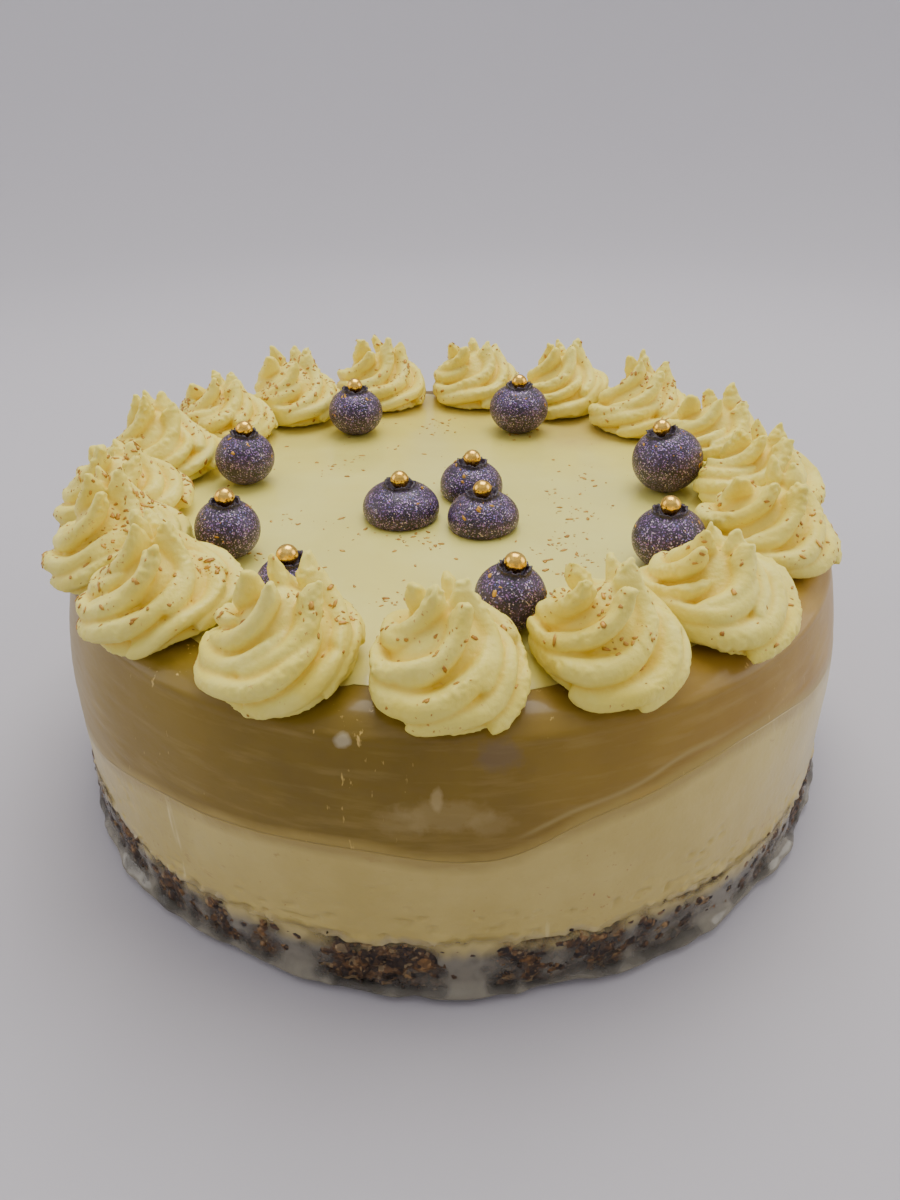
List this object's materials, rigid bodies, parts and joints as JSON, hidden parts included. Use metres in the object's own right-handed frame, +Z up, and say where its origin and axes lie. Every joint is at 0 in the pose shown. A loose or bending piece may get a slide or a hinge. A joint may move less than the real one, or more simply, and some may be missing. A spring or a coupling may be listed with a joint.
{
  "type": "baked cheesecake",
  "caption": "Round two-tone baked cheesecake on a crumb crust, glazed, with a ring of piped cream rosettes, painted berries and gold sugar pearls.",
  "frame": {"origin": "centre of the flat underside of the crust", "axes": "+Z up through the cake, its short side; -Y is the front, where the camera stands; +X is to the right"},
  "size_m": [0.1996, 0.1996, 0.0899],
  "materials": {
    "crumb_crust": "rough baked crumbs",
    "pale_layer": "baked cream cheese under a thin moist glaze",
    "tan_layer": "tan baked cream cheese under a thin moist glaze",
    "piped_cream": "whipped butter cream, satin",
    "painted_berry": "dark skin brushed with purple pearl powder",
    "gold_pearl": "polished edible gold"
  },
  "bodies": {
    "root": {"crust": "crumb_crust", "lower_layer": "pale_layer", "upper_layer": "tan_layer", "rosette_01": "piped_cream", "rosette_02": "piped_cream", "rosette_03": "piped_cream", "rosette_04": "piped_cream", "rosette_05": "piped_cream", "rosette_06": "piped_cream", "rosette_07": "piped_cream", "rosette_08": "piped_cream", "rosette_09": "piped_cream", "rosette_10": "piped_cream", "rosette_11": "piped_cream", "rosette_12": "piped_cream", "rosette_13": "piped_cream", "rosette_14": "piped_cream", "rosette_15": "piped_cream", "rosette_16": "piped_cream", "rosette_17": "piped_cream", "berry_01": "painted_berry", "berry_02": "painted_berry", "berry_03": "painted_berry", "berry_04": "painted_berry", "berry_05": "painted_berry", "berry_06": "painted_berry", "berry_07": "painted_berry", "berry_08": "painted_berry", "berry_09": "painted_berry", "berry_10": "painted_berry", "berry_11": "painted_berry", "pearl_01": "gold_pearl", "pearl_02": "gold_pearl", "pearl_03": "gold_pearl", "pearl_04": "gold_pearl", "pearl_05": "gold_pearl", "pearl_06": "gold_pearl", "pearl_07": "gold_pearl", "pearl_08": "gold_pearl", "pearl_09": "gold_pearl", "pearl_10": "gold_pearl", "pearl_11": "gold_pearl"}
  },
  "joints": []
}
